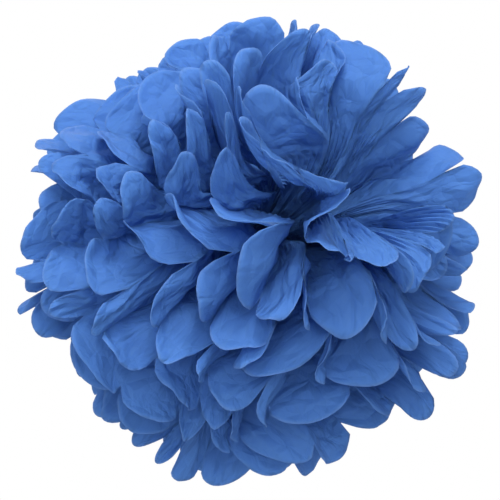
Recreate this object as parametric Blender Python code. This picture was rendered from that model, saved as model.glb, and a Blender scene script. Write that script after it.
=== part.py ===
"""Tissue paper pom pom: ten sheets of tissue, pleated together like an accordion,
cinched at the middle by a twisted wire tie, cut round at both ends and fluffed apart into a ball.

Each sheet is one rectangle of paper. Its pleats run along the strip, so a sheet is worked out as a
row of fold lines that leave the tie side by side, fan out round +Z on both sides of it, and climb
to the sheet's own place on the ball. The origin is the middle of the tie, where the pom pom hangs
from, and +Z is the way that it hangs.
"""

import math

import bmesh
import bpy
import numpy as np

# The ball and the paper, in metres
BALL_RADIUS = 0.122
PLEATS = 13
PLEAT_WIDTH = 0.031
TIP_ROUNDING = 0.014
PAPER = 0.0006
PAPER_GAP = 0.0004

# The cinched waist and the wire round it, twisted into a short tail on top
WAIST_WIDTH = 0.013
NECK_LENGTH = 0.0022
WIRE_DIAMETER = 0.0009
WIRE_CLEARANCE = 0.0003
WIRE_BEND = 0.0012
WIRE_SIDES = 5
TAIL_LENGTH = 0.009
TAIL_TURNS = 2
TAIL_STEPS = 16

# How the sheets are fluffed: where their tips stand, from the middle of the ball up and down, and
# how they lean, open their pleats and bend
TIP_ELEVATIONS = tuple(math.radians(a) for a in (5.0, 15.5, 27.0, 38.0, 47.5))
BUNCH = 0.025
LEAN = 0.16
LEAN_TOWARDS = math.radians(-15.0)
SWAY = 0.07
SWING = math.radians(1.5)
SEAM_SWING = math.radians(2.0)
SEAM_DEPTH = 0.15
PLEAT_STEEPNESS = (1.9, 4.0)
PLEATS_START = 0.002
PLEATS_FULL = 0.030
PLEATS_OPEN = 0.090
WAIST_FADE = 0.8
SHALLOWER = 0.25
CUP = 0.0045
CURL = 0.0095
CURL_START = 0.55
CURL_END = 1.3
SHORTER = 0.10
RUFFLE = 0.0075
RUFFLE_LENGTH = 0.150
FLUTTER = 0.0034
FLUTTER_LENGTH = 0.062
CHANCE = 4

# Slow waves round the ball, as (size, number of waves, start, shift from sheet to sheet)
CROWDS = ((0.070, 5, 0.9, 0.35), (0.040, 8, 4.0, -0.50))
LIFTS = ((0.020, 3, 0.0, 1.30), (0.012, 5, 2.4, -2.10))
TOP_LIFTS = ((0.10, 6, 3.4, 0.0),)
TOP_RISE = 0.14
TOP_CHANCE = 0.02
SEAM_FADE = 8

# How far along a fold each row of points lies, up to the notch between two petals
ROWS = (0.10, 0.30, 0.58)
NOTCH_ROW = 1 - TIP_ROUNDING / BALL_RADIUS
RIM_POINTS = (0.14, 0.5, 0.86)


def smooth(low, high, value):
    """0 below low, 1 above high, and an S-curve between them."""
    share = np.clip((value - low) / (high - low), 0.0, 1.0)
    return share * share * (3.0 - 2.0 * share)


def climb(elevation, along):
    """Radius, height and slope of a line whose tip stands at this elevation on the ball.

    It is a cubic curve that rises in a bunch near the axis, the more so for a high sheet, and
    flares outwards towards its tip, as petals do.
    """
    steep = elevation / math.radians(60.0)
    rise = (
        BALL_RADIUS * np.maximum(0.30 - 0.36 * steep, 0.05),
        BALL_RADIUS * 0.27 * steep,
    )
    flare = (
        BALL_RADIUS * np.maximum(0.66 - 0.77 * steep, 0.08),
        BALL_RADIUS * (0.02 + 0.64 * steep),
    )
    tip = (BALL_RADIUS * np.cos(elevation), BALL_RADIUS * np.sin(elevation))
    back = 1.0 - along
    place = [
        3 * back**2 * along * rise[k] + 3 * back * along**2 * flare[k] + along**3 * tip[k]
        for k in (0, 1)
    ]
    pace = [
        3 * back**2 * rise[k]
        + 6 * back * along * (flare[k] - rise[k])
        + 3 * along**2 * (tip[k] - flare[k])
        for k in (0, 1)
    ]
    return place[0], place[1], np.arctan2(pace[1], pace[0])


def waves(terms, world, level):
    """The sum of slow sines round the ball: size x sin(number x azimuth + start + shift x level)."""
    return sum(
        size * np.sin(number * world + start + shift * level) for size, number, start, shift in terms
    )


def pleat_depth(radius, pitch):
    """Half the depth of the pleats at a distance from the axis, where each covers this pitch.

    A pleat's width is fixed, so the paper allows half of sqrt(width^2 - pitch^2). Close to the tie
    the pleats are pressed flat, and they open on the way out.
    """
    free = 0.5 * np.sqrt(np.maximum(PLEAT_WIDTH**2 - pitch**2, (0.2 * PLEAT_WIDTH) ** 2))
    near, wide = PLEAT_STEEPNESS
    steepness = near + (wide - near) * smooth(PLEATS_FULL, PLEATS_OPEN, radius)
    pressed = 0.5 * steepness * pitch * smooth(PLEATS_START, PLEATS_FULL, radius)
    return free * pressed / np.sqrt(free**2 + pressed**2)


def ruffled(points):
    """Points moved by slow ripples through the whole ball, none at the tie and most at the rim.

    Every sheet follows the same ripples, so sheets bend together and stay clear of each other.
    """
    wave = 2 * math.pi / RUFFLE_LENGTH
    x, y, z = points[..., 0], points[..., 1], points[..., 2]
    ripple = np.stack(
        [
            np.sin(wave * (0.9 * y + 0.5 * z) + 0.6) + 0.6 * np.sin(wave * (1.9 * z - 1.1 * y) + 2.0),
            np.sin(wave * (1.0 * z + 0.4 * x) + 2.9) + 0.6 * np.sin(wave * (1.7 * x + 1.2 * z) + 0.4),
            np.sin(wave * (1.1 * x - 0.6 * y) + 4.4) + 0.6 * np.sin(wave * (1.8 * y + 1.3 * x) + 5.2),
        ],
        axis=-1,
    )
    wave = 2 * math.pi / FLUTTER_LENGTH
    flutter = np.stack(
        [
            np.sin(wave * (0.8 * y + 0.7 * z) + 1.1),
            np.sin(wave * (0.9 * z - 0.6 * x) + 3.7),
            np.sin(wave * (0.7 * x + 0.8 * y) + 5.0),
        ],
        axis=-1,
    )
    reach = np.linalg.norm(points, axis=-1, keepdims=True)
    loose = smooth(0.15 * BALL_RADIUS, BALL_RADIUS, reach)
    return points + loose * (RUFFLE * ripple + FLUTTER * flutter)


def habits(level, side):
    """The bends that fluffing gave one half sheet, for each of its folds or petals.

    Its folds crowd together in some places and spread out in others, and its tips rise and sink
    likewise. The two folds at the seam between the halves lie nearly flat and swing together.
    """
    chance = np.random.default_rng([level + 10, side + 1, CHANCE])
    folds = PLEATS + 1
    spread = np.linspace(-1, 1, folds)
    free = 1 - spread**SEAM_FADE
    world = spread * math.pi / 2 + (0.0 if side > 0 else math.pi)
    swing = (waves(CROWDS, world, level) + SWING * chance.uniform(-1, 1, folds)) * free
    swing[0] = SEAM_SWING * (-1) ** level * side
    swing[-1] = -SEAM_SWING * (-1) ** level * side
    lift = waves(LIFTS, world, level)
    if abs(level) == len(TIP_ELEVATIONS):
        stray = TOP_RISE + waves(TOP_LIFTS, world, level) + TOP_CHANCE * chance.uniform(-1, 1, folds)
        lift = lift + math.copysign(1, level) * stray
    depth = 1 - SHALLOWER * chance.uniform(-0.2, 1, folds)
    depth[0] = depth[-1] = SEAM_DEPTH
    return {
        "swing": swing,
        "crowding": np.gradient(swing),
        "lift": lift * free,
        "depth": depth,
        "curl": CURL * chance.uniform(-1, 1, folds),
        "cup": CUP * chance.uniform(-1, 1, PLEATS),
        "reach": 1 - SHORTER * chance.uniform(0, 1, PLEATS),
    }


def fold_lines(level, side, habit, along):
    """Points of every fold of a half sheet at each share along it, as folds x rows x 3."""
    upward = 1.0 if level > 0 else -1.0
    fold = np.arange(PLEATS + 1)
    spread = 2 * fold[:, None] / PLEATS - 1
    world = spread * math.pi / 2 + (0.0 if side > 0 else math.pi)
    ease = SWAY * (np.sin(2 * world + 0.7) + np.sin(3 * world + 2.1 * upward))
    ease = ease - LEAN * np.cos(world - LEAN_TOWARDS)
    run = along[None, :]
    elevation = TIP_ELEVATIONS[abs(level) - 1] * (1 + ease) + upward * habit["lift"][:, None]
    radius, height, slope = climb(elevation, run)
    height, slope = upward * height, upward * slope
    far = np.hypot(radius, height)
    loose = smooth(0.2 * BALL_RADIUS, 0.75 * BALL_RADIUS, far)
    loose = loose * smooth(0.15 * BALL_RADIUS, 0.6 * BALL_RADIUS, radius)
    ridge = np.where(fold % 2 == 0, 1.0, -1.0)[:, None]
    pitch = radius * (math.pi / PLEATS + habit["crowding"][:, None] * loose)
    offset = ridge * pleat_depth(radius, pitch) * (1 + (habit["depth"][:, None] - 1) * loose)
    offset = offset + habit["curl"][:, None] * smooth(CURL_START, CURL_END, run)
    waist = WAIST_WIDTH / 2 * spread * (1 - WAIST_FADE * radius / BALL_RADIUS)
    radius = radius - offset * np.sin(slope)
    height = height + offset * np.cos(slope)
    azimuth = spread * math.pi / 2 + habit["swing"][:, None] * loose
    layer = PAPER + PAPER_GAP
    outside = (len(TIP_ELEVATIONS) - abs(level)) * layer * (1 - smooth(0.0, BUNCH, radius))
    points = np.stack(
        [
            side * (NECK_LENGTH / 2 + outside + radius * np.cos(azimuth)),
            side * (waist + radius * np.sin(azimuth)),
            height + (abs(level) - 0.5) * upward * layer,
        ],
        axis=-1,
    )
    return ruffled(points)


def panel_point(left, right, across, cup):
    """Points across a pleat between two folds: the chord, raised by a parabola of that cup.

    The cup is full at the rim and fades out where the pleats crowd together near the tie.
    """
    chord = right - left
    middle = 0.5 * (left + right)
    forward = np.gradient(middle, axis=-2)
    normal = np.cross(chord, forward)
    normal /= np.maximum(np.linalg.norm(normal, axis=-1, keepdims=True), 1e-9)
    room = smooth(0.2 * BALL_RADIUS, 0.7 * BALL_RADIUS, np.hypot(middle[..., :1], middle[..., 1:2]))
    return left + across * chord + 4 * across * (1 - across) * cup * room * normal


def tip_share(reach, across):
    """How far along the cut edge of a petal lies at a place across it: a half ellipse."""
    return NOTCH_ROW + (1 - NOTCH_ROW) * reach * math.sqrt(1 - (2 * across - 1) ** 2)


def half_sheet(bm, waist, level, side):
    """The fan of pleats on one side of the tie, with a round petal at the end of each."""
    habit = habits(level, side)
    shares = np.array((0.0,) + ROWS + (NOTCH_ROW, 0.5 + 0.5 * NOTCH_ROW, 1.0))
    folds = fold_lines(level, side, habit, shares)
    last = len(ROWS)
    rows = [[bm.verts.new(point) for point in folds[:, row]] for row in range(last + 2)]
    for low, high in zip([waist] + rows[: last - 1], rows[:last]):
        for k in range(PLEATS):
            bm.faces.new((low[k], high[k], high[k + 1], low[k + 1]))
    below, above, notch = rows[last - 1], rows[last], rows[last + 1]
    middle = panel_point(folds[:-1], folds[1:], 0.5, habit["cup"][:, None, None])
    for k in range(PLEATS):
        mid = bm.verts.new(middle[k, last])
        mid_notch = bm.verts.new(middle[k, last + 1])
        bm.faces.new((below[k], above[k], mid))
        bm.faces.new((below[k], mid, below[k + 1]))
        bm.faces.new((below[k + 1], mid, above[k + 1]))
        bm.faces.new((above[k], notch[k], mid_notch, mid))
        bm.faces.new((mid, mid_notch, notch[k + 1], above[k + 1]))
        rim = [notch[k]]
        for across in RIM_POINTS:
            line = panel_point(folds[k], folds[k + 1], across, habit["cup"][k])
            share = tip_share(habit["reach"][k], across)
            rim.append(bm.verts.new([np.interp(share, shares, line[:, axis]) for axis in range(3)]))
        rim.append(notch[k + 1])
        for a, b in zip(rim[:-1], rim[1:]):
            bm.faces.new((mid_notch, a, b))


def tissue_sheet(name, level, material):
    """One whole sheet: a flat strip at the waist, with a fan of pleats on each side of it."""
    bm = bmesh.new()
    stack = math.copysign(abs(level) - 0.5, level) * (PAPER + PAPER_GAP)
    waist = [bm.verts.new((0.0, WAIST_WIDTH * (k / PLEATS - 0.5), stack)) for k in range(PLEATS + 1)]
    half_sheet(bm, waist, level, 1)
    half_sheet(bm, waist[::-1], level, -1)
    bmesh.ops.recalc_face_normals(bm, faces=bm.faces)
    sheet = new_object(name, bm, material)
    paper = sheet.modifiers.new("Paper", "SOLIDIFY")
    paper.thickness = PAPER
    paper.offset = 0.0
    return sheet


def wire_path():
    """The middle line of the tie: down one strand, round the waist, and up the other strand."""
    around = WIRE_CLEARANCE + WIRE_DIAMETER / 2
    half_width = WAIST_WIDTH / 2 + WIRE_CLEARANCE + around
    half_height = len(TIP_ELEVATIONS) * (PAPER + PAPER_GAP) - PAPER_GAP / 2 + around
    twist = WIRE_DIAMETER / 2 + 0.7 * WIRE_CLEARANCE
    foot = half_height + WIRE_DIAMETER
    rise = np.linspace(0, 1, TAIL_STEPS + 1)
    turn = 2 * math.pi * TAIL_TURNS * rise
    strand = np.stack([twist * np.sin(turn), twist * np.cos(turn), foot + TAIL_LENGTH * rise], axis=1)
    shoulder = np.array(
        [
            (0.0, twist * 1.5, half_height + WIRE_DIAMETER * 0.3),
            (0.0, twist * 2.6, half_height),
        ]
    )
    ring = [shoulder]
    for corner, (y, z) in enumerate(((1, 1), (1, -1), (-1, -1), (-1, 1))):
        angle = math.pi / 2 - math.pi / 2 * (corner + np.linspace(0, 1, 4))
        ring.append(
            np.stack(
                [
                    np.zeros(4),
                    y * (half_width - WIRE_BEND) + WIRE_BEND * np.cos(angle),
                    z * (half_height - WIRE_BEND) + WIRE_BEND * np.sin(angle),
                ],
                axis=1,
            )
        )
    ring.append(shoulder[::-1] * (1, -1, 1))
    return np.concatenate([strand[::-1], *ring, strand * (-1, -1, 1)])


def wire_tie(name, material):
    """The wire: a round section carried along its path without twisting, closed at both ends."""
    path = wire_path()
    heading = np.gradient(path, axis=0)
    heading /= np.linalg.norm(heading, axis=1, keepdims=True)
    bm = bmesh.new()
    aside = np.cross(heading[0], (0.0, 0.0, 1.0))
    rings = []
    for point, forward in zip(path, heading):
        aside = aside - forward * np.dot(aside, forward)
        aside /= np.linalg.norm(aside)
        across = np.cross(forward, aside)
        angles = [2 * math.pi * k / WIRE_SIDES for k in range(WIRE_SIDES)]
        rings.append(
            [
                bm.verts.new(point + WIRE_DIAMETER / 2 * (math.cos(a) * aside + math.sin(a) * across))
                for a in angles
            ]
        )
    for low, high in zip(rings[:-1], rings[1:]):
        for k in range(WIRE_SIDES):
            after = (k + 1) % WIRE_SIDES
            bm.faces.new((low[k], low[after], high[after], high[k]))
    bm.faces.new(rings[0][::-1])
    bm.faces.new(rings[-1])
    bmesh.ops.recalc_face_normals(bm, faces=bm.faces)
    return new_object(name, bm, material)


def new_object(name, bm, material):
    """A named object from finished bmesh data, with its one material."""
    mesh = bpy.data.meshes.new(name)
    bm.to_mesh(mesh)
    bm.free()
    mesh.materials.append(material)
    node = bpy.data.objects.new(name, mesh)
    bpy.context.scene.collection.objects.link(node)
    return node


def finish(name, colour, roughness):
    """A plain surface finish of that colour and roughness."""
    material = bpy.data.materials.new(name)
    material.use_nodes = True
    surface = material.node_tree.nodes["Principled BSDF"]
    surface.inputs["Base Color"].default_value = colour
    surface.inputs["Roughness"].default_value = roughness
    return material


def main():
    for old in list(bpy.data.objects):
        bpy.data.objects.remove(old)
    tissue = finish("blue_tissue", (0.055, 0.150, 0.500, 1.0), 0.8)
    coated = finish("green_wire", (0.045, 0.120, 0.060, 1.0), 0.45)
    levels = [k for k in range(-len(TIP_ELEVATIONS), len(TIP_ELEVATIONS) + 1) if k]
    for number, level in enumerate(levels, 1):
        tissue_sheet(f"tissue_sheet_{number:02d}", level, tissue)
    wire_tie("wire_tie", coated)


main()
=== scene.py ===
"""A blue tissue paper pom pom, seen from above and to one side as the photograph shows it.

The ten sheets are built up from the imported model's own formulas at full detail: a sheet is a row of
fold lines that leave the wire tie, fan out round +Z on both sides of it and climb to the sheet's
place on the ball, with a round petal between each two folds.
"""

import math

import bpy
import numpy as np
from mathutils import Matrix, Vector


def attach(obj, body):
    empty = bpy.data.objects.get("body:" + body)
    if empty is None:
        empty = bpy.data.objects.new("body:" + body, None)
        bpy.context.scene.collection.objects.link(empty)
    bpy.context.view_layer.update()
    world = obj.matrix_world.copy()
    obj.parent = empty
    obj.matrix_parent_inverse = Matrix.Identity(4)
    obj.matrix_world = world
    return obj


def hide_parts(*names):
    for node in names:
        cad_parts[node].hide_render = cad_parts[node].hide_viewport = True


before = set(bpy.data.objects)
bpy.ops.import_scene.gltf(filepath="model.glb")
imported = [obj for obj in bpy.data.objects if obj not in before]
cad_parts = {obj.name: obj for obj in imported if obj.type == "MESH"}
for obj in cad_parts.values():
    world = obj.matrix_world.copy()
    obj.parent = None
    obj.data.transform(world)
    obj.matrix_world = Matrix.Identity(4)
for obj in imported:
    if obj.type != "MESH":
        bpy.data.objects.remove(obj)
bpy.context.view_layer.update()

# The sheets of tissue
# Ten rectangles of thin paper, stacked, folded together like an accordion in pleats of 31 mm,
# cinched in the middle, cut round at both ends, and then pulled apart one by one into a ball.

# The paper, its pleats and its round cut, in metres
BALL_RADIUS = 0.122
PLEATS = 13
PLEAT_WIDTH = 0.031
SHEET_LENGTH = 0.250
THICKNESS = 0.00016
TIP_ROUNDING = 0.014
NOTCH = 1 - TIP_ROUNDING / BALL_RADIUS
SHORTER = 0.10
LOPSIDED = 0.25

# The waist, where each sheet of the stack has a layer with a gap in it, and how the pleats open
# on their way out
LAYER = 0.0010
LAYER_GAP = 0.0004
WAIST_WIDTH = 0.013
WAIST_FADE = 0.8
NECK_LENGTH = 0.0022
BUNCH = 0.025
PLEAT_STEEPNESS = (1.9, 4.0)
LEAST_DEPTH = 0.2
PLEATS_START = 0.002
PLEATS_FULL = 0.030
PLEATS_OPEN = 0.090

# How the sheets are fluffed: where their tips stand, and how they lean, bend and ripple
TIP_ELEVATIONS = tuple(math.radians(a) for a in (5.0, 15.5, 27.0, 38.0, 47.5))
LEAN = 0.16
LEAN_TOWARDS = math.radians(-15.0)
SWAY = 0.07
SWING = math.radians(1.5)
SEAM_SWING = math.radians(2.0)
SEAM_DEPTH = 0.15
SEAM_FADE = 8
SHALLOWER = 0.25
CUP = 0.0045
CURL = 0.0095
CURL_START = 0.55
CURL_END = 1.3
RUFFLE = 0.0075
RUFFLE_LENGTH = 0.150
FLUTTER = 0.0034
FLUTTER_LENGTH = 0.062

# Slow waves round the ball, as (size, number of waves, start, shift from sheet to sheet)
CROWDS = ((0.070, 5, 0.9, 0.35), (0.040, 8, 4.0, -0.50))
LIFTS = ((0.020, 3, 0.0, 1.30), (0.012, 5, 2.4, -2.10))
TOP_LIFTS = ((0.10, 6, 3.4, 0.0),)
TOP_RISE = 0.14
TOP_CHANCE = 0.02

# The crumples, their share in the folds, and the fine gathers near the tie
CREASES = 9
CREASE_LENGTHS = (0.009, 0.034)
CREASE_HEIGHT = 0.033
CREASE_TURN = 0.9
FOLD_CRUMPLE = 0.4
FOLD_SWERVE = 0.35
FOLD_FADE = (0.0, 0.45)
GATHERS = (0.35, 0.65)
GATHERS_START = (0.002, 0.012)

# Where each bend sets in or fades out: two distances, as shares of the ball's radius
RIPPLES_FROM = (0.15, 1.0)
LOOSE_FROM_MIDDLE = (0.2, 0.75)
LOOSE_FROM_AXIS = (0.15, 0.6)
CUP_FROM = (0.2, 0.7)
CRUMPLES_FROM = (0.1, 0.5)
GATHERS_END = (0.16, 0.50)

# The grid of a petal, the step that tells which way its surface faces, and the seeds of chance
COLUMNS = 14
ROWS = 60
STEP_AHEAD = 0.05
HABIT_SEED = 4
GATHER_SEED = 5
CREASE_SEED = 77
CRUMPLE_SEED = 7
SWERVE_SEED = 27


def smooth(low, high, value):
    """0 below low, 1 above high, and an S-curve between them: 3 t^2 - 2 t^3."""
    share = np.clip((value - low) / (high - low), 0.0, 1.0)
    return share * share * (3.0 - 2.0 * share)


def outward(shares, distance):
    """The same S-curve between two distances that are given as shares of the ball's radius."""
    low, high = shares
    return smooth(low * BALL_RADIUS, high * BALL_RADIUS, distance)


def climb(elevation, along):
    """Radius, height and slope of a line whose tip stands at this elevation on the ball.

    A cubic Bezier curve from the axis to the tip. Its two handles lie out and up by shares of the
    ball's radius: it rises in a bunch near the axis, the more so for a high sheet, and flares
    outwards towards its tip.
    """
    steep = elevation / math.radians(60.0)
    rise = (BALL_RADIUS * np.maximum(0.30 - 0.36 * steep, 0.05), BALL_RADIUS * 0.27 * steep)
    flare = (
        BALL_RADIUS * np.maximum(0.66 - 0.77 * steep, 0.08),
        BALL_RADIUS * (0.02 + 0.64 * steep),
    )
    tip = (BALL_RADIUS * np.cos(elevation), BALL_RADIUS * np.sin(elevation))
    back = 1.0 - along
    place = [
        3 * back**2 * along * rise[k] + 3 * back * along**2 * flare[k] + along**3 * tip[k]
        for k in (0, 1)
    ]
    pace = [
        3 * back**2 * rise[k]
        + 6 * back * along * (flare[k] - rise[k])
        + 3 * along**2 * (tip[k] - flare[k])
        for k in (0, 1)
    ]
    return place[0], place[1], np.arctan2(pace[1], pace[0])


def waves(terms, world, level):
    """Slow sines round the ball, added: size x sin(number x azimuth + start + shift x level)."""
    return sum(
        size * np.sin(number * world + start + shift * level)
        for size, number, start, shift in terms
    )


def pleat_depth(radius, pitch):
    """Half the depth of the pleats, where a pleat of fixed width covers this pitch.

    The paper allows half of sqrt(width^2 - pitch^2). Close to the tie they are pressed flat.
    """
    least = LEAST_DEPTH * PLEAT_WIDTH
    free = 0.5 * np.sqrt(np.maximum(PLEAT_WIDTH**2 - pitch**2, least**2))
    near, wide = PLEAT_STEEPNESS
    steepness = near + (wide - near) * smooth(PLEATS_FULL, PLEATS_OPEN, radius)
    pressed = 0.5 * steepness * pitch * smooth(PLEATS_START, PLEATS_FULL, radius)
    return free * pressed / np.sqrt(free**2 + pressed**2)


def ruffled(points):
    """Points moved by slow ripples through the whole ball, so that all the sheets bend together.

    Each axis is moved by sines of the other two: two long ones, and a short one for the flutter.
    """
    x, y, z = points[..., 0], points[..., 1], points[..., 2]
    wave = 2 * math.pi / RUFFLE_LENGTH
    ripple = np.stack(
        [
            np.sin(wave * (0.9 * y + 0.5 * z) + 0.6)
            + 0.6 * np.sin(wave * (1.9 * z - 1.1 * y) + 2.0),
            np.sin(wave * (1.0 * z + 0.4 * x) + 2.9)
            + 0.6 * np.sin(wave * (1.7 * x + 1.2 * z) + 0.4),
            np.sin(wave * (1.1 * x - 0.6 * y) + 4.4)
            + 0.6 * np.sin(wave * (1.8 * y + 1.3 * x) + 5.2),
        ],
        axis=-1,
    )
    wave = 2 * math.pi / FLUTTER_LENGTH
    flutter = np.stack(
        [
            np.sin(wave * (0.8 * y + 0.7 * z) + 1.1),
            np.sin(wave * (0.9 * z - 0.6 * x) + 3.7),
            np.sin(wave * (0.7 * x + 0.8 * y) + 5.0),
        ],
        axis=-1,
    )
    loose = outward(RIPPLES_FROM, np.linalg.norm(points, axis=-1, keepdims=True))
    return points + loose * (RUFFLE * ripple + FLUTTER * flutter)


def habits(level, side):
    """The bends that fluffing gave one half sheet, for each of its folds or petals.

    Its folds crowd together in some places and spread out in others, and its tips rise and sink
    likewise. The two folds at the seam between the halves lie nearly flat and swing together.
    """
    chance = np.random.default_rng([level + 10, side + 1, HABIT_SEED])
    folds = PLEATS + 1
    spread = np.linspace(-1, 1, folds)
    free = 1 - spread**SEAM_FADE
    world = spread * math.pi / 2 + (0.0 if side > 0 else math.pi)
    swing = (waves(CROWDS, world, level) + SWING * chance.uniform(-1, 1, folds)) * free
    swing[0] = SEAM_SWING * (-1) ** level * side
    swing[-1] = -SEAM_SWING * (-1) ** level * side
    lift = waves(LIFTS, world, level)
    if abs(level) == len(TIP_ELEVATIONS):
        stray = TOP_RISE + waves(TOP_LIFTS, world, level)
        stray = stray + TOP_CHANCE * chance.uniform(-1, 1, folds)
        lift = lift + math.copysign(1, level) * stray
    depth = 1 - SHALLOWER * chance.uniform(-0.2, 1, folds)
    depth[0] = depth[-1] = SEAM_DEPTH
    return {
        "swing": swing,
        "crowding": np.gradient(swing),
        "lift": lift * free,
        "depth": depth,
        "curl": CURL * chance.uniform(-1, 1, folds),
        "cup": CUP * chance.uniform(-1, 1, PLEATS),
        "reach": 1 - SHORTER * chance.uniform(0, 1, PLEATS),
        "lean": LOPSIDED * chance.uniform(-1, 1, PLEATS),
    }


def crumple(across, along, seed):
    """Height of the crumples in metres at places on the flat sheet, in metres.

    A sum of triangle waves in chance directions, their lines bent by slow sines of 3 to 5 mm.
    Triangle waves meet in creases with flat facets between them, as crumpled tissue does.
    """
    chance = np.random.default_rng([seed, CREASE_SEED])
    bent_across = across + 0.004 * np.sin(along / 0.013 + seed)
    bent_across = bent_across + 0.003 * np.sin(along / 0.007 + 2 * seed)
    bent_along = along + 0.005 * np.sin(across / 0.012 + 1.7 * seed)
    total = np.zeros_like(across)
    for _ in range(CREASES):
        length = chance.uniform(*CREASE_LENGTHS)
        turn = chance.normal(0.0, CREASE_TURN)
        phase = (bent_across * math.cos(turn) + bent_along * math.sin(turn)) / length
        triangle = 4 * np.abs((phase + chance.uniform()) % 1.0 - 0.5) - 1
        total = total + CREASE_HEIGHT * length * triangle
    return total


def fold_points(level, side, habit, fold, along):
    """Where a share along a fold lies, for arrays of fold numbers and shares of one shape.

    A fold leaves the tie at its own azimuth and climbs as climb() says. It is pushed square to its
    slope by the pleat's depth, up and down in turn, by the curl of its tip and by the crumples.
    """
    upward = 1.0 if level > 0 else -1.0
    spread = 2 * fold / PLEATS - 1
    world = spread * math.pi / 2 + (0.0 if side > 0 else math.pi)
    ease = SWAY * (np.sin(2 * world + 0.7) + np.sin(3 * world + 2.1 * upward))
    ease = ease - LEAN * np.cos(world - LEAN_TOWARDS)
    elevation = TIP_ELEVATIONS[abs(level) - 1] * (1 + ease) + upward * habit["lift"][fold]
    radius, height, slope = climb(elevation, along)
    height, slope = upward * height, upward * slope
    loose = outward(LOOSE_FROM_MIDDLE, np.hypot(radius, height)) * outward(LOOSE_FROM_AXIS, radius)
    ridge = np.where(fold % 2 == 0, 1.0, -1.0)
    pitch = radius * (math.pi / PLEATS + habit["crowding"][fold] * loose)
    offset = ridge * pleat_depth(radius, pitch) * (1 + (habit["depth"][fold] - 1) * loose)
    offset = offset + habit["curl"][fold] * smooth(CURL_START, CURL_END, along)
    flat = (fold * PLEAT_WIDTH, side * along * SHEET_LENGTH / 2)
    offset = offset + FOLD_CRUMPLE * loose * crumple(*flat, level + CRUMPLE_SEED)
    waist = WAIST_WIDTH / 2 * spread * (1 - WAIST_FADE * radius / BALL_RADIUS)
    radius = radius - offset * np.sin(slope)
    height = height + offset * np.cos(slope)
    azimuth = spread * math.pi / 2 + habit["swing"][fold] * loose
    swerve = FOLD_SWERVE * loose * crumple(*flat, level + SWERVE_SEED)
    azimuth = azimuth + swerve / BALL_RADIUS
    outside = (len(TIP_ELEVATIONS) - abs(level)) * LAYER * (1 - smooth(0.0, BUNCH, radius))
    points = np.stack(
        [
            side * (NECK_LENGTH / 2 + outside + radius * np.cos(azimuth)),
            side * (waist + radius * np.sin(azimuth)),
            height + (abs(level) - 0.5) * upward * LAYER,
        ],
        axis=-1,
    )
    return ruffled(points)


def petal_grid(habit):
    """Petal number, share across, share along, and the share at the cut, for each point.

    The cut edge is a half ellipse above the notches, NOTCH + (1 - NOTCH) x reach x sqrt(1 - t^2),
    where t runs from -1 to 1 across the petal and is pushed to one side by the petal's own lean.
    """
    petal = np.arange(PLEATS)[:, None, None]
    across = np.linspace(0, 1, COLUMNS + 1)[None, :, None]
    lopsided = np.clip(across + habit["lean"][:, None, None] * across * (1 - across), 0, 1)
    half_ellipse = np.sqrt(np.maximum(1 - (2 * lopsided - 1) ** 2, 0.0))
    top = NOTCH + (1 - NOTCH) * habit["reach"][:, None, None] * half_ellipse
    along = np.linspace(0, 1, ROWS + 1)[None, None, :] * top
    petal, across = np.broadcast_arrays(petal, across + 0 * along)
    return petal, across, along, top


def gathers(side, width, out):
    """Height of the fine gathers, which use up the width that the petal has to spare near the tie.

    Columns stand up and down in turn, each by a chance share of sqrt(pleat width^2 - width^2) over
    the number of columns. They fade out at the tie, further out, and on the folds.
    """
    share = np.random.default_rng([side + 1, GATHER_SEED]).uniform(
        *GATHERS, (PLEATS, COLUMNS + 1, 1)
    )
    share *= (-1.0) ** np.arange(COLUMNS + 1)[None, :, None]
    share[:, [0, -1]] = 0.0
    spare = np.sqrt(np.maximum(PLEAT_WIDTH**2 - width**2, 0.0)) / COLUMNS
    return share * spare * (smooth(*GATHERS_START, out) * (1 - outward(GATHERS_END, out)))


def half_sheet(level, side):
    """Points of one half sheet as petals x columns x rows x 3, and its flat places likewise.

    Across a petal a point lies on the chord between its two folds, raised square to the surface by
    a parabola, the crumples and the gathers. A flat place is the distance in metres across the
    pleats, along them, and back from the cut.
    """
    habit = habits(level, side)
    petal, across, along, top = petal_grid(habit)
    left, right, left_ahead, right_ahead = (
        fold_points(level, side, habit, petal + fold, along + step)
        for step in (0, STEP_AHEAD)
        for fold in (0, 1)
    )
    chord = right - left
    normal = np.cross(chord, 0.5 * (left_ahead + right_ahead) - 0.5 * (left + right))
    normal /= np.maximum(np.linalg.norm(normal, axis=-1, keepdims=True), 1e-12)
    flat_across = (petal + across) * PLEAT_WIDTH
    flat_along = side * along * SHEET_LENGTH / 2
    from_cut = (top - along) * SHEET_LENGTH / 2
    out = np.hypot(left[..., 0] + right[..., 0], left[..., 1] + right[..., 1]) / 2
    hump = 4 * across * (1 - across)
    crumples = crumple(flat_across, flat_along, level + CRUMPLE_SEED) * smooth(*FOLD_FADE, hump)
    raised = hump * habit["cup"][:, None, None] * outward(CUP_FROM, out)
    raised = raised + crumples * outward(CRUMPLES_FROM, out)
    raised = raised + gathers(side, np.linalg.norm(chord, axis=-1), out)
    points = left + across[..., None] * chord + raised[..., None] * normal
    return points, np.stack([flat_across, flat_along, from_cut], axis=-1)


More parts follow.
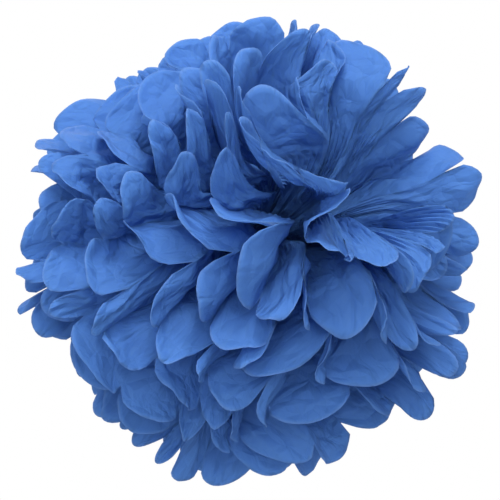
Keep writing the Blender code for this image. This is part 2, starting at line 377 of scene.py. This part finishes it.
def sheet_mesh(name, level):
    """The whole sheet as one mesh: both halves' grids, sewn to each other at the waist.

    Its UV map lays the flat sheets one behind the other on a roll, so that no two have the same
    marks, and its attribute cut_distance says how far a point is from the cut.
    """
    points, flats, quads, waists, first = [], [], [], [], 0
    for side in (1, -1):
        grid, flat = half_sheet(level, side)
        number = first + np.arange(grid[..., 0].size).reshape(grid.shape[:3])
        corner = [number[:, :-1, :-1], number[:, 1:, :-1], number[:, 1:, 1:], number[:, :-1, 1:]]
        quads.append(np.stack([part.ravel() for part in corner], axis=1)[:, ::side])
        points.append(grid.reshape(-1, 3))
        flats.append(flat.reshape(-1, 3))
        waists.append(number[:, :, 0])
        first += number.size
    near, far = waists[0], waists[1][::-1, ::-1]
    strip = [near[:, :-1], far[:, :-1], far[:, 1:], near[:, 1:]]
    quads.append(np.stack([part.ravel() for part in strip], axis=1))
    points, flats, quads = (np.concatenate(part) for part in (points, flats, quads))
    mesh = bpy.data.meshes.new(name)
    mesh.from_pydata(points.tolist(), [], quads.tolist())
    mesh.uv_layers.new(name="flat_sheet")
    corners = np.empty(len(mesh.loops), dtype=np.int32)
    mesh.loops.foreach_get("vertex_index", corners)
    on_roll = flats[corners, :2] + (0.0, (level + len(TIP_ELEVATIONS) + 0.5) * SHEET_LENGTH)
    mesh.uv_layers["flat_sheet"].data.foreach_set("uv", on_roll.ravel())
    cut = mesh.attributes.new("cut_distance", "FLOAT", "POINT")
    cut.data.foreach_set("value", flats[:, 2].copy())
    return mesh


def in_scene(name, data):
    """A new object of this name and data, linked into the scene."""
    thing = bpy.data.objects.new(name, data)
    bpy.context.scene.collection.objects.link(thing)
    return thing


class Socket:
    """An output of a shader node: arithmetic on it adds Math nodes, and node() adds any other."""

    def __init__(self, tree, output=None):
        self.tree, self.output = tree, output

    def node(self, kind, output, inputs, **settings):
        """One output of a new node with these settings, and these values or links at its inputs."""
        node = self.tree.nodes.new("ShaderNode" + kind)
        for name, value in settings.items():
            setattr(node, name, value)
        for name, value in inputs.items():
            if isinstance(value, Socket):
                self.tree.links.new(value.output, node.inputs[name])
            else:
                node.inputs[name].default_value = value
        return Socket(self.tree, node.outputs[output] if node.outputs else None)

    def math(self, operation, one, other, clamp=False):
        """The result of one Math node."""
        return self.node("Math", 0, {0: one, 1: other}, operation=operation, use_clamp=clamp)

    def blend(self, one, other):
        """The colour this far on the way from one colour to the other, by a Mix node."""
        return self.node("Mix", 2, {0: self, 6: one, 7: other}, data_type="RGBA")

    def __add__(self, other):
        return self.math("ADD", self, other)

    def __sub__(self, other):
        return self.math("SUBTRACT", self, other)

    def __rsub__(self, other):
        return self.math("SUBTRACT", other, self)

    def __mul__(self, other):
        return self.math("MULTIPLY", self, other)

    __radd__, __rmul__ = __add__, __mul__


def empty_material(name):
    """A new material with no nodes yet, and a socket to start its tree from."""
    material = bpy.data.materials.new(name)
    material.use_nodes = True
    material.node_tree.nodes.clear()
    return material, Socket(material.node_tree)


# The tissue's finish: matt blue with a cloudy density, creased into facets of two sizes and
# streaked along the pleats, with a painted highlight along the cut edges and some of the light
# coming through
DENSE_BLUE = (0.062, 0.180, 0.480, 1)
THIN_BLUE = (0.082, 0.222, 0.545, 1)
# Painted highlight: the pale blue of a band along every cut edge, standing in for light catching the
# thin rims
EDGE_HIGHLIGHT_BLUE = (0.32, 0.47, 0.80, 1)
BLUE_LIGHT = (0.34, 0.55, 0.88, 1)
CLOUD_SCALE = 80.0
WANDER_SCALE = 60.0
WANDER = 0.010
LARGE_FACETS = (0.016, 0.22)
SMALL_FACETS = (0.007, 0.20)
STREAK_SCALE = 260.0
STREAK_STRETCH = 0.10
STREAK_HEIGHT = 0.0009
HIGHLIGHT_WIDTH = 0.0009
HIGHLIGHT_SHARPNESS = 1100.0
HIGHLIGHT_STRENGTH = 0.45
LIGHT_THROUGH = 0.46


def facets(place, size, steepness):
    """Height of flat facets: their size x the distance to the nearest crease x a steepness."""
    crease = {"Vector": place, "Scale": 1 / size}
    distance = place.node("TexVoronoi", "Distance", crease, feature="DISTANCE_TO_EDGE")
    return size * distance * steepness


tissue, start = empty_material("blue_tissue")
roll = start.node("TexCoord", "UV", {})
cloud = start.node(
    "TexNoise", "Fac", {"Vector": roll, "Scale": CLOUD_SCALE, "Detail": 4.0, "Roughness": 0.6}
)
wander = start.node("TexNoise", "Color", {"Vector": roll, "Scale": WANDER_SCALE, "Detail": 2.0})
wander = start.node("VectorMath", 0, {0: wander, "Scale": WANDER}, operation="SCALE")
bent = start.node("VectorMath", 0, {0: roll, 1: wander}, operation="ADD")
stretch = (1, STREAK_STRETCH, 1)
along_pleat = start.node("VectorMath", 0, {0: bent, 1: stretch}, operation="MULTIPLY")
streaks = start.node(
    "TexNoise", "Fac", {"Vector": along_pleat, "Scale": STREAK_SCALE, "Detail": 2.0}
)
height = facets(bent, *LARGE_FACETS) + facets(bent, *SMALL_FACETS) + streaks * STREAK_HEIGHT
bump = start.node("Bump", 0, {"Height": height, "Strength": 1.0, "Distance": 1.0})
from_cut = start.node("Attribute", "Fac", {}, attribute_name="cut_distance")
# Painted highlight: a pale band along the cut edges, where light catching the thin rims is painted
# into the colour
painted_highlight = start.math("MULTIPLY", HIGHLIGHT_WIDTH - from_cut, HIGHLIGHT_SHARPNESS, clamp=True)
tone = (painted_highlight * cloud * HIGHLIGHT_STRENGTH).blend(cloud.blend(DENSE_BLUE, THIN_BLUE), EDGE_HIGHLIGHT_BLUE)
face = start.node(
    "BsdfPrincipled",
    0,
    {"Base Color": tone, "Roughness": 0.75, "Specular IOR Level": 0.3, "Normal": bump},
)
through = start.node("BsdfTranslucent", 0, {"Color": BLUE_LIGHT, "Normal": bump})
paper = start.node("MixShader", 0, {"Fac": LIGHT_THROUGH, 1: face, 2: through})
start.node("OutputMaterial", 0, {"Surface": paper})

# The sheets themselves, from the lowest to the highest: each is laid on its formula, sewn where its
# petals meet, and given the paper's thickness
SEWN_WITHIN = 0.000005
SHARP_FOLD = math.radians(50.0)

levels = [k for k in range(-len(TIP_ELEVATIONS), len(TIP_ELEVATIONS) + 1) if k]
for number, level in enumerate(levels, 1):
    mesh = sheet_mesh(f"paper_{number:02d}", level)
    mesh.materials.append(tissue)
    mesh.shade_smooth()
    mesh.set_sharp_from_angle(angle=SHARP_FOLD)
    sheet = in_scene(f"paper_{number:02d}", mesh)
    sewn = sheet.modifiers.new("Sewn", "WELD")
    sewn.merge_threshold = SEWN_WITHIN
    skin = sheet.modifiers.new("Paper", "SOLIDIFY")
    skin.thickness = THICKNESS
    skin.offset = 0.0
    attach(sheet, "root")
    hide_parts(f"tissue_sheet_{number:02d}")

# The wire tie
# One length of thin steel wire in a coat of green paint, laid once round the folded sheets at
# their middle. Its two ends are twisted round each other into a short tail between the petals.

WIRE_DIAMETER = 0.0009
WIRE_TO_PAPER = 0.0003
WIRE_BEND = 0.0012
BEND_STEPS = 8
TAIL_LENGTH = 0.009
TAIL_TURNS = 2
TAIL_STEPS = 48
DARK_GREEN = (0.035, 0.100, 0.050, 1)
BRIGHT_GREEN = (0.055, 0.140, 0.070, 1)
GRAIN_SCALE = 1500.0
GRAIN_HEIGHT = 0.00004


def wire_route():
    """The wire's middle line: down one strand, round the waist, and up the other strand.

    A strand is a helix, (r sin a, r cos a, z), and the other strand is the same helix turned half
    round. The ring round the waist is a rectangle with a quarter circle at each corner.
    """
    around = WIRE_TO_PAPER + WIRE_DIAMETER / 2
    half_width = WAIST_WIDTH / 2 + WIRE_TO_PAPER + around
    half_height = len(TIP_ELEVATIONS) * LAYER - LAYER_GAP / 2 + around
    twist = WIRE_DIAMETER / 2 + 0.7 * WIRE_TO_PAPER
    foot = half_height + WIRE_DIAMETER
    rise = np.linspace(0, 1, TAIL_STEPS + 1)
    turn = 2 * math.pi * TAIL_TURNS * rise
    strand = np.stack(
        [twist * np.sin(turn), twist * np.cos(turn), foot + TAIL_LENGTH * rise], axis=1
    )
    shoulder = np.array(
        [
            (0.0, twist * 1.5, half_height + WIRE_DIAMETER * 0.3),
            (0.0, twist * 2.6, half_height),
        ]
    )
    quarter = np.arange(4)[:, None] + np.linspace(0, 1, BEND_STEPS + 1)[None, :]
    angle = math.pi / 2 - math.pi / 2 * quarter
    ways = np.array([(1, 1), (1, -1), (-1, -1), (-1, 1)])
    ring = np.stack(
        [
            0 * angle,
            ways[:, :1] * (half_width - WIRE_BEND) + WIRE_BEND * np.cos(angle),
            ways[:, 1:] * (half_height - WIRE_BEND) + WIRE_BEND * np.sin(angle),
        ],
        axis=-1,
    ).reshape(-1, 3)
    other_shoulder = shoulder[::-1] * (1, -1, 1)
    return np.concatenate([strand[::-1], shoulder, ring, other_shoulder, strand * (-1, -1, 1)])


painted, start = empty_material("green_wire")
place = start.node("TexCoord", "Object", {})
grain = start.node("TexNoise", "Fac", {"Vector": place, "Scale": GRAIN_SCALE})
dents = start.node("Bump", 0, {"Height": grain * GRAIN_HEIGHT, "Strength": 1.0, "Distance": 1.0})
tone = grain.blend(DARK_GREEN, BRIGHT_GREEN)
coat = start.node(
    "BsdfPrincipled", 0, {"Base Color": tone, "Roughness": grain * 0.2 + 0.32, "Normal": dents}
)
start.node("OutputMaterial", 0, {"Surface": coat})

route = wire_route()
line = bpy.data.curves.new("wire_route", "CURVE")
line.dimensions = "3D"
line.bevel_depth = WIRE_DIAMETER / 2
line.bevel_resolution = 4
line.use_fill_caps = True
spline = line.splines.new("POLY")
spline.points.add(len(route) - 1)
spline.points.foreach_set("co", np.c_[route, np.ones(len(route))].ravel())
spline.use_smooth = True
line.materials.append(painted)
wire = in_scene("green_wire", line)
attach(wire, "root")
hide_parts("wire_tie")

# The floor
# A plain white surface far below the hanging pom pom. The photograph's background is pure white, so
# the camera sees the floor as pure white too, while it throws light back on the paper as usual.

FLOOR_HEIGHT = -1.6
FLOOR_HALF = 3.0
FLOOR_WHITE = (0.9, 0.9, 0.9, 1)
PURE_WHITE = (1, 1, 1, 1)


def sees_backdrop(start):
    """1 for rays from the camera and for mirrored ones, which see plain white, and 0 for others."""
    from_camera = start.node("LightPath", "Is Camera Ray", {})
    mirrored = start.node("LightPath", "Is Glossy Ray", {})
    return start.math("MAXIMUM", from_camera, mirrored)


white, start = empty_material("white_floor")
lit = start.node("BsdfDiffuse", 0, {"Color": FLOOR_WHITE})
glow = start.node("Emission", 0, {"Color": PURE_WHITE, "Strength": 1.0})
surface = start.node("MixShader", 0, {"Fac": sees_backdrop(start), 1: lit, 2: glow})
start.node("OutputMaterial", 0, {"Surface": surface})

square = [
    (x * FLOOR_HALF, y * FLOOR_HALF, FLOOR_HEIGHT)
    for x, y in ((-1, -1), (1, -1), (1, 1), (-1, 1))
]
floor_mesh = bpy.data.meshes.new("floor")
floor_mesh.from_pydata(square, [], [(0, 1, 2, 3)])
floor_mesh.materials.append(white)
floor = in_scene("floor", floor_mesh)

# The camera
# It looks down on the pom pom at a slant, rolled so that the tie's axis points up and to the right,
# from a distance at which near petals look hardly larger than far ones.

TILT = math.radians(47.0)
TOWARDS = math.radians(128.0)
CLOCK = math.radians(27.0)
LENS = 105.0
DISTANCE = 0.806
MOVE_RIGHT = 0.0011
MOVE_UP = 0.0006

toward = Vector(
    (math.sin(TILT) * math.cos(TOWARDS), math.sin(TILT) * math.sin(TOWARDS), math.cos(TILT))
)
roll = Matrix.Rotation(math.pi / 2 - CLOCK, 4, "Z").to_quaternion()
camera = in_scene("camera", bpy.data.cameras.new("camera"))
camera.data.lens = LENS
camera.rotation_mode = "QUATERNION"
camera.rotation_quaternion = (-toward).to_track_quat("-Z", "Y") @ roll
right = camera.rotation_quaternion @ Vector((1, 0, 0))
above = camera.rotation_quaternion @ Vector((0, 1, 0))
camera.location = toward * DISTANCE + right * MOVE_RIGHT + above * MOVE_UP
bpy.context.scene.camera = camera

# The lamps and the room
# A large soft lamp above the camera's view, a weaker one beside the camera and one behind the pom
# pom, whose light comes through the thin petals at the rim, in a pale room.

LAMP_DISTANCE = 1.5
ROOM_LIGHT = 0.76

# Each lamp's name, its direction as shares to the right, above and towards the camera, its size in
# metres and its power in watts
for name, (to_right, to_above, to_camera), size, power in (
    ("key", (0.10, 1.1, 0.62), 0.7, 21.0),
    ("fill", (-0.05, 0.25, 1.0), 0.7, 12.0),
    ("back", (-0.3, 0.8, -1.0), 0.8, 12.0),
):
    lamp = in_scene(name, bpy.data.lights.new(name, "AREA"))
    lamp.data.energy = power
    lamp.data.size = size
    direction = (right * to_right + above * to_above + toward * to_camera).normalized()
    lamp.location = direction * LAMP_DISTANCE
    lamp.rotation_mode = "QUATERNION"
    lamp.rotation_quaternion = direction.to_track_quat("Z", "Y")

room = bpy.data.worlds.new("room")
bpy.context.scene.world = room
room.use_nodes = True
room.node_tree.nodes.clear()
start = Socket(room.node_tree)
pale = start.node("Background", 0, {"Color": PURE_WHITE, "Strength": ROOM_LIGHT})
backdrop = start.node("Background", 0, {"Color": PURE_WHITE, "Strength": 1.0})
shown = start.node("MixShader", 0, {"Fac": sees_backdrop(start), 1: pale, 2: backdrop})
start.node("OutputWorld", 0, {"Surface": shown})
bpy.context.scene.view_settings.view_transform = "Standard"
